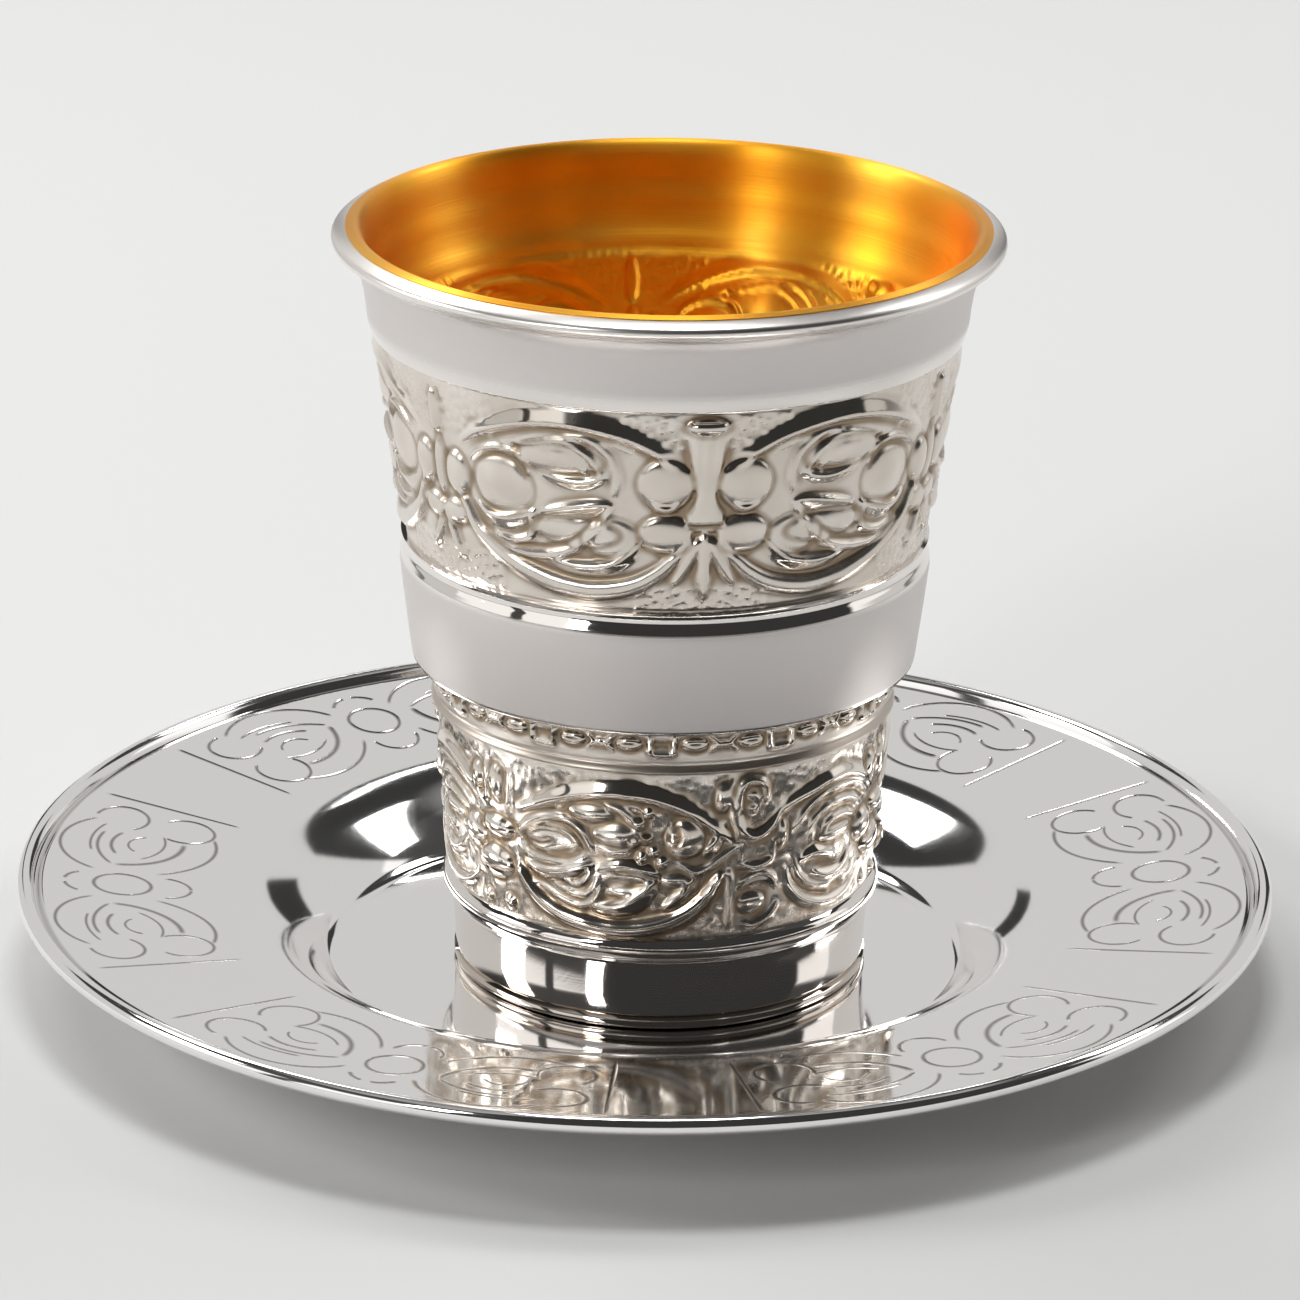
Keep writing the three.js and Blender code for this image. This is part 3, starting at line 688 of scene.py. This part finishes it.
# %% [markdown]
# ## The saucer
# The saucer is spun too: a flat well, a rounded wall, and a wide rim that rises a little to a
# rolled edge. Its outline follows the upper side out to the roll and comes back underneath, one
# sheet thick. Its round stretches are parts of circles. Its engraving is fine line work, so it is
# left to the material.

# %% The saucer's outline, spun
def bend(middle, radius, turns):
    """Outline points on part of a circle, its angles in degrees from straight outward."""
    return [(middle[0] + radius * cos(radians(turn)),
             middle[1] + radius * sin(radians(turn))) for turn in turns]


FILLET_MIDDLE, FILLET = (32.8, 2.8), 2
SHOULDER_MIDDLE, SHOULDER = (47.15, -8.06), 16
saucer_top = ([(0, 0.8), (20, 0.8), (30, 0.8)] + bend(FILLET_MIDDLE, FILLET, range(-90, -37, 4))
              + bend(SHOULDER_MIDDLE, SHOULDER, range(142, 96, -2))
              + [(48 + 2.5 * n, 8.15 + 0.29 * n) for n in range(6)]
              + soften([(62.8, 9.87), (63.8, 10.0), (64.35, 9.98), (64.75, 9.8), (65.1, 9.85)], 3))
saucer_roll = bend((66.15, 10.05), 0.92, range(165, -166, -15))
saucer_under = ([(64.9, 9.35), (63.8, 9.22), (60, 8.82), (48, 7.35)]
                + bend(SHOULDER_MIDDLE, SHOULDER - 0.8, range(97, 142, 4))
                + bend(FILLET_MIDDLE, FILLET + 0.8, range(-38, -91, -13)) + [(20, 0), (0, 0)])
SAUCER_COLUMNS = 400
saucer_piece = turned("engraved_saucer", saucer_top + saucer_roll + saucer_under, 0, 0, SAUCER_COLUMNS)
report(saucer_piece)

# %% [markdown]
# ## Finishes, written as sums
# A finish is a small graph of nodes. A wire between two nodes carries a number, so it reads best
# as a Python value that can be added and multiplied: each sum then draws its own Math node. One
# method makes every other kind of node from its type, its settings and what goes into it.

# %% A value that draws its own nodes
class Wire:
    """One socket of a finish, used in sums as if it were a number."""

    def __init__(self, sheet, socket):
        self.sheet, self.socket = sheet, socket

    def maths(self, operation, *values):
        return self.sheet.node("ShaderNodeMath", {"operation": operation}, dict(enumerate(values)))

    def __add__(self, other):
        return self.maths("ADD", self, other)

    def __sub__(self, other):
        return self.maths("SUBTRACT", self, other)

    def __rsub__(self, other):
        return self.maths("SUBTRACT", other, self)

    def __mul__(self, other):
        return self.maths("MULTIPLY", self, other)

    def __truediv__(self, other):
        return self.maths("DIVIDE", self, other)

    def __pow__(self, other):
        return self.maths("POWER", self, other)

    __radd__ = __add__
    __rmul__ = __mul__

    def size(self):
        return self.maths("ABSOLUTE", self)

    def top(self, other):
        return self.maths("MAXIMUM", self, other)

    def between(self, start, end):
        """0 at start, 1 at end, soft at both ends; start may be the larger one."""
        return self.sheet.node(
            "ShaderNodeMapRange", {"interpolation_type": "SMOOTHSTEP"},
            {"Value": self, "From Min": start, "From Max": end},
        )


class Sheet:
    """A node graph on which wires and nodes are drawn."""

    def __init__(self, owner):
        owner.use_nodes = True
        self.tree = owner.node_tree
        self.tree.nodes.clear()

    def node(self, kind, settings=None, inputs=None, out=0):
        made = self.tree.nodes.new(kind)
        for key, value in (settings or {}).items():
            setattr(made, key, value)
        for key, value in (inputs or {}).items():
            if isinstance(value, Wire):
                self.tree.links.new(value.socket, made.inputs[key])
            else:
                made.inputs[key].default_value = value
        return Wire(self, made.outputs[out]) if made.outputs else None

    def blend(self, share, first, second):
        """A colour between two colours."""
        return self.node("ShaderNodeMix", {"data_type": "RGBA"}, {0: share, 6: first, 7: second}, out=2)

    def place(self):
        """Where a point is on the piece, in metres."""
        return self.node("ShaderNodeTexCoord", out=3)

    def axes(self, vector):
        split = self.node("ShaderNodeSeparateXYZ", inputs={0: vector})
        outputs = split.socket.node.outputs
        return [Wire(self, outputs[name]) for name in "XYZ"]

    def noise(self, vector, scale, detail):
        sockets = {"Vector": vector, "Scale": scale, "Detail": detail}
        return self.node("ShaderNodeTexNoise", inputs=sockets)

    def stretch(self, vector, scale):
        return self.node("ShaderNodeMapping", inputs={"Vector": vector, "Scale": scale})

    def attribute(self, name):
        return self.node("ShaderNodeAttribute", {"attribute_name": name}, out=2)

    def bump(self, height, strength, distance):
        sockets = {"Height": height, "Strength": strength, "Distance": distance}
        return self.node("ShaderNodeBump", inputs=sockets)

    def finish(self, **sockets):
        names = {key.replace("_", " "): value for key, value in sockets.items()}
        shader = self.node("ShaderNodeBsdfPrincipled", inputs=names)
        self.node("ShaderNodeOutputMaterial", inputs={"Surface": shader})


def dress(piece, material):
    piece.data.materials.clear()
    piece.data.materials.append(material)


# %% [markdown]
# ## Polished and satin silver
# Silver is never quite neutral: it is a warm grey. The foot, the bead and the coves of the cup are
# polished like a mirror, while the belly and the neck have a satin bloom. One graph does both, and
# the height on the cup decides which one shows. Brown painted shade darkens the groove above the
# foot ring, a painted shadow darkens the underside of the ledge, and the foot ring and the stem
# cove are darker too.

# %% The cup's plain silver
SILVER = (0.87, 0.83, 0.795, 1)
SATIN_SILVER = (0.72, 0.685, 0.665, 1)
# brown: real tarnish in the chased hollows, and painted shade and shadow on the cup's plain silver
TARNISH_AND_SHADE = (0.30, 0.22, 0.14, 1)

plain_silver = bpy.data.materials.new("turned_silver")
sheet = Sheet(plain_silver)
place = sheet.place()
x, y, z = sheet.axes(place)
height = (z - cup_z) * 1000
satin_belly = height.between(36.1, 36.7) * height.between(47.6, 46.6)
satin_neck = height.between(72.2, 74.2) * height.between(80.6, 79.4)
satin = satin_belly.top(satin_neck)
worn = height.between(80.3, 80.9)
cloud = sheet.noise(place, 90, 3)
lathe = sheet.noise(sheet.stretch(place, (30, 30, 9000)), 1, 2)
hairlines = sheet.noise(sheet.stretch(place, (900, 900, 4000)), 1, 2)
cove = height.between(30.6, 31.0) * height.between(35.6, 35.3)
rough = satin * 0.40 + worn * 0.24 + cove * 0.3 + 0.03 + cloud * 0.02 + satin * hairlines * 0.06
# painted shade: the groove between the foot ring and the mirror band is darkened toward brown
foot_groove_shade = height.between(3.2, 2.85) * height.between(2.3, 2.7)
ring = height.between(2.8, 2.5)
# painted shadow: the underside of the ledge is darkened toward brown
ledge_painted_shadow = height.between(35.7, 35.85) * height.between(36.3, 36.0)
colour = sheet.blend((foot_groove_shade * 0.8).top(ledge_painted_shadow * 0.3).top(cove * 0.55).top(ring * 0.4),
                     sheet.blend(satin, SILVER, SATIN_SILVER), TARNISH_AND_SHADE)
relief = lathe * 0.6 + hairlines * 0.4
sheet.finish(Base_Color=colour, Metallic=1.0, Roughness=rough,
             Normal=sheet.bump(relief * (satin + 0.15), 0.05, 0.0002))
dress(cup_body, plain_silver)
print("turned silver:", len(sheet.tree.nodes), "nodes")

# %% [markdown]
# ## Chased silver
# A chased band keeps a brown tarnish in its hollows and is bright on its ridges. The height map
# already knows both, so it was stored on the vertices as it was chased, and the finish reads it.

# %% The chased bands
chased_silver = bpy.data.materials.new("chased_silver")
sheet = Sheet(chased_silver)
place = sheet.place()
patina = sheet.attribute("patina")
bright = sheet.attribute("bright")
cloud = sheet.noise(place, 160, 3)
grain = sheet.noise(place, 2600, 2)
dull = (patina * 1.4 + (cloud - 0.5) * 0.5).between(0.05, 0.8)
warm = sheet.blend(cloud.between(0.35, 0.7), (0.72, 0.66, 0.59, 1), (0.81, 0.76, 0.70, 1))
colour = sheet.blend(dull * 0.9, warm, TARNISH_AND_SHADE)
rough = 0.30 - bright * 0.24 + dull * 0.10 + cloud * 0.04
relief = grain * (1 - bright) * 0.7 + cloud * 0.3
sheet.finish(Base_Color=colour, Metallic=1.0, Roughness=rough, Normal=sheet.bump(relief, 0.06, 0.0002))
for piece in (upper_band, lower_band, frieze):
    dress(piece, chased_silver)
print("chased silver:", len(sheet.tree.nodes), "nodes")

# %% [markdown]
# ## Gilt
# The lining is gilt and lathe-brushed. Brush lines that run round the cup stretch every highlight
# upright, which the shader's anisotropy does, turned by a quarter. The lines themselves are a
# noise squeezed flat, and a slower noise makes the gilding uneven.

# %% The gilt finish
gilt = bpy.data.materials.new("brushed_gilt")
sheet = Sheet(gilt)
place = sheet.place()
brush = sheet.noise(sheet.stretch(place, (60, 60, 5200)), 1, 3)
broad = sheet.noise(sheet.stretch(place, (25, 25, 900)), 1, 2)
cloud = sheet.noise(place, 70, 3)
colour = sheet.blend(cloud.between(0.3, 0.72), (1.0, 0.44, 0.025, 1), (1.0, 0.54, 0.06, 1))
rough = 0.36 + brush * 0.09 + broad * 0.07
sheet.finish(Base_Color=colour, Metallic=1.0, Roughness=rough, Anisotropic=0.9, Anisotropic_Rotation=0.25,
             Normal=sheet.bump(brush * 0.7 + broad * 0.3, 0.16, 0.0002))
dress(gilt_lining, gilt)
print("gilt:", len(sheet.tree.nodes), "nodes")

# %% [markdown]
# ## Engraved silver
# The rim of the saucer carries six engraved panels. Each is two mirrored scrolls beside a small
# oval, cut as thin bright-sided grooves. A graver swings in arcs, so every cut is part of a circle:
# the finish works out how far each point lies from that circle, and folds the round into one half
# of one panel. Across a panel, lengths are mm of arc at 54 mm from the middle; outwards, they are
# mm from the middle.

# %% The engraved finish
PANEL_TURN = radians(34)
PANEL_SCALE = 54
PANEL_EDGE = 21.7  # where a straight line closes each panel
OVAL_HALF_ACROSS, OVAL_HALF_OUT, OVAL_OUT = 2.75, 3.05, 55.8
ROLL_INSIDE = 64.75  # the fine groove where the rim meets the rolled edge
SAUCER_SILVER = (0.93, 0.915, 0.905, 1)
# dark grey of the engraved cuts, also used as painted shade in the groove inside the rolled edge
CUT_AND_SHADE_SILVER = (0.26, 0.245, 0.23, 1)

engraved_silver = bpy.data.materials.new("engraved_silver")
sheet = Sheet(engraved_silver)
place = sheet.place()
x, y, z = (part * 1000 for part in sheet.axes(place))
out = (x * x + y * y) ** 0.5
round_angle = x.maths("ARCTAN2", x, y * -1)
from_panel = round_angle - PANEL_TURN + tau / 12
folded = from_panel.maths("FLOORED_MODULO", from_panel, tau / 6)
across = (folded - tau / 12).size() * PANEL_SCALE
panel = sheet.node("ShaderNodeCombineXYZ", inputs={"X": across, "Y": out})


def arc_cut(middle, radius, start, end, half_width):
    """1 in the middle of a cut along part of a circle, from start to end in degrees, and 0 beside it."""
    reach = sheet.node("ShaderNodeVectorMath", {"operation": "SUBTRACT"}, {0: panel, 1: (*middle, 0)})
    length = sheet.node("ShaderNodeVectorMath", {"operation": "LENGTH"}, {0: reach}, out=1)
    facing, opening = radians((start + end) / 2), radians((end - start) / 2)
    ahead = (cos(facing), sin(facing), 0)
    along = sheet.node("ShaderNodeVectorMath", {"operation": "DOT_PRODUCT"}, {0: reach, 1: ahead}, out=1)
    cosine = along / length
    soft = min(0.12, (1 - cos(opening)) * 0.35)
    beside = (length - radius).size().between(half_width, 0)
    return beside * cosine.between(cos(opening), cos(opening) + soft)


scroll_cuts = [
    arc_cut((10.5, 56.2), 7.5, 42, 160, 0.33),
    arc_cut((16.9, 58.9), 2.85, -140, 95, 0.33),
    arc_cut((16.9, 51.6), 3.1, -212, 62, 0.33),
    arc_cut((12.0, 56.4), 9.2, -156, -58, 0.36),
    arc_cut((12.0, 57.5), 6.75, -178, -76, 0.5),
    arc_cut((11.5, 50.7), 9.1, 78, 134, 0.33),
    arc_cut((11.7, 50.4), 10.2, 70, 112, 0.26),
    arc_cut((11.2, 52.9), 5.4, 62, 128, 0.36),
    arc_cut((11.6, 58.3), 5.6, -140, -58, 0.26),
    arc_cut((11.2, 54.2), 2.3, 20, 150, 0.24),
    arc_cut((0, 59.5), 2.5, 22, 82, 0.36),
    arc_cut((0, 51.3), 2.8, -92, 4, 0.33),
]
oval = sheet.node("ShaderNodeVectorMath", {"operation": "MULTIPLY"},
                  {0: panel, 1: (1 / OVAL_HALF_ACROSS, 1 / OVAL_HALF_OUT, 0)})
oval = sheet.node("ShaderNodeVectorMath", {"operation": "DISTANCE"},
                  {0: oval, 1: (0, OVAL_OUT / OVAL_HALF_OUT, 0)}, out=1)
scroll_cuts.append(((oval - 1) * 2.9).size().between(0.36, 0))
border = (across - PANEL_EDGE).size().between(0.3, 0) * out.between(46.6, 48.2) * out.between(63.2, 61.8)
cuts = border
for cut in scroll_cuts:
    cuts = cuts.top(cut)
on_top = z.between(7.1, 7.5)
cuts = cuts * on_top
cloud = sheet.noise(place, 55, 3)
scratch = sheet.noise(sheet.stretch(place, (1400, 260, 900)), 1, 3)
# painted shade: the fine groove inside the rolled edge is darkened
groove = (out - ROLL_INSIDE).size().between(0.5, 0.1) * z.between(9.5, 9.7)
shade = cuts.top(groove * 0.5)
colour = sheet.blend(shade, SAUCER_SILVER, CUT_AND_SHADE_SILVER)
rough = 0.03 + cloud * 0.05 + cuts * 0.12 + scratch * 0.03
relief = scratch * 0.04 - cuts
sheet.finish(Base_Color=colour, Metallic=1.0, Roughness=rough, Normal=sheet.bump(relief, 0.22, 0.0002))
dress(saucer_piece, engraved_silver)
print("engraved silver:", len(sheet.tree.nodes), "nodes")

# %% [markdown]
# ## The studio
# Silver shows what stands round it, so its looks are made by the room as much as by the finish.
# The room is a white tent with an opening where the camera stands: mirror-bright parts that face
# the camera go dark, and those that face the sides catch a white window. The floor is plain and
# pale.

# %% The floor
clear_selection()
bpy.ops.mesh.primitive_plane_add(size=14, location=(0, 0, -0.00003))
floor = named("studio_floor")
settle(floor)
floor_paper = bpy.data.materials.new("pale_paper")
sheet = Sheet(floor_paper)
sheet.finish(Base_Color=(0.80, 0.80, 0.795, 1), Roughness=0.85)
dress(floor, floor_paper)
print("floor", [round(side, 1) for side in floor.dimensions], "m")

# %% The tent round the camera's opening
world = bpy.data.worlds.new("white_tent")
bpy.context.scene.world = world
tent = Sheet(world)
toward = tent.node("ShaderNodeTexCoord")
tx, ty, tz = tent.axes(toward)
bearing = tx.maths("ARCTAN2", tx, ty * -1)
opening = bearing.between(-0.72, -0.67) * bearing.between(1.55, 1.49)
opening = opening.top(bearing.between(-1.21, -1.19) * bearing.between(-1.09, -1.11))
hem = (ty * 1.4 - 0.52).top(0.5)
ceiling = (tz - hem).between(0, 0.03) * (1 - tz.between(0.8, 0.87) * 0.35)
stands = bearing.between(2.66, 2.69) * bearing.between(2.88, 2.86)
stands = stands.top(bearing.between(-2.92, -2.91) * bearing.between(-2.83, -2.84))
stands = stands * tz.between(0.38, 0.36)
windows = bearing.between(-1.76, -1.72) * bearing.between(-0.70, -0.74)
windows = windows.top(bearing.between(1.5, 1.54) * bearing.between(2.0, 1.96)) * tz.between(0.1, 0.16)
cloth = (0.64 + windows * 0.42) * (1 - opening.top(ceiling).top(stands) * 0.94)
seen = tent.node("ShaderNodeLightPath")
strength = cloth * (1 - seen) + seen * 0.8
TENT_WHITE = (1.0, 0.99, 0.975, 1)
backdrop = tent.node("ShaderNodeBackground", inputs={"Color": TENT_WHITE, "Strength": strength})
tent.node("ShaderNodeOutputWorld", inputs={"Surface": backdrop})
print("tent:", len(tent.tree.nodes), "nodes")

# %% [markdown]
# ## The soft lights
# Two large soft lights and a small one behind the cup give its sides a white edge, and one
# overhead lifts the lip. Two low strips, at the front left and at the left, reach over the lip
# into the gilding, where the brushed lines draw them out into upright streaks. The camera does
# not see the lights themselves.

# %% The soft lights
def softbox(name, bearing, lift, distance, size, power, turn=0):
    """An area light at a bearing from the camera's side and a height angle, facing the cup."""
    light = bpy.data.lights.new(name, "AREA")
    light.shape = "RECTANGLE"
    light.size, light.size_y = size
    light.energy = power
    lamp = bpy.data.objects.new(name, light)
    bpy.context.scene.collection.objects.link(lamp)
    flat_way = Vector((sin(radians(bearing)), -cos(radians(bearing)), 0)) * cos(radians(lift))
    way = flat_way + Vector((0, 0, sin(radians(lift))))
    lamp.location = way * distance + Vector((0, 0, 0.04))
    lamp.rotation_euler = (way.to_track_quat("Z", "Y") @ Quaternion((0, 0, 1), radians(turn))).to_euler()
    lamp.visible_camera = False
    return lamp


softbox("left_softbox", -144, 47, 1.1, (0.55, 0.25), 2.6)
softbox("right_softbox", 125, 43, 1.1, (0.56, 0.2), 2.2, 22)
softbox("back_strip", 172, 39, 1.1, (0.16, 0.04), 0.25)
softbox("overhead", 180, 82, 1.3, (0.4, 0.3), 5)
softbox("front_left_strip", -37, 27, 1.1, (0.15, 0.4), 2.2)
softbox("left_strip", -92, 27, 1.1, (0.30, 0.4), 3.3)
print([light.name for light in bpy.data.lights])

# %% [markdown]
# ## Look and ride
# Each piece rides on the one body of this set and stands for the CAD node it follows.

# %% Look and ride
bpy.context.scene.view_settings.view_transform = "Standard"
for piece in (cup_body, upper_band, lower_band, frieze, gilt_lining):
    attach(piece, "root")
    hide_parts("kiddush_cup")
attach(saucer_piece, "root")
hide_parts("saucer")

bpy.context.view_layer.update()
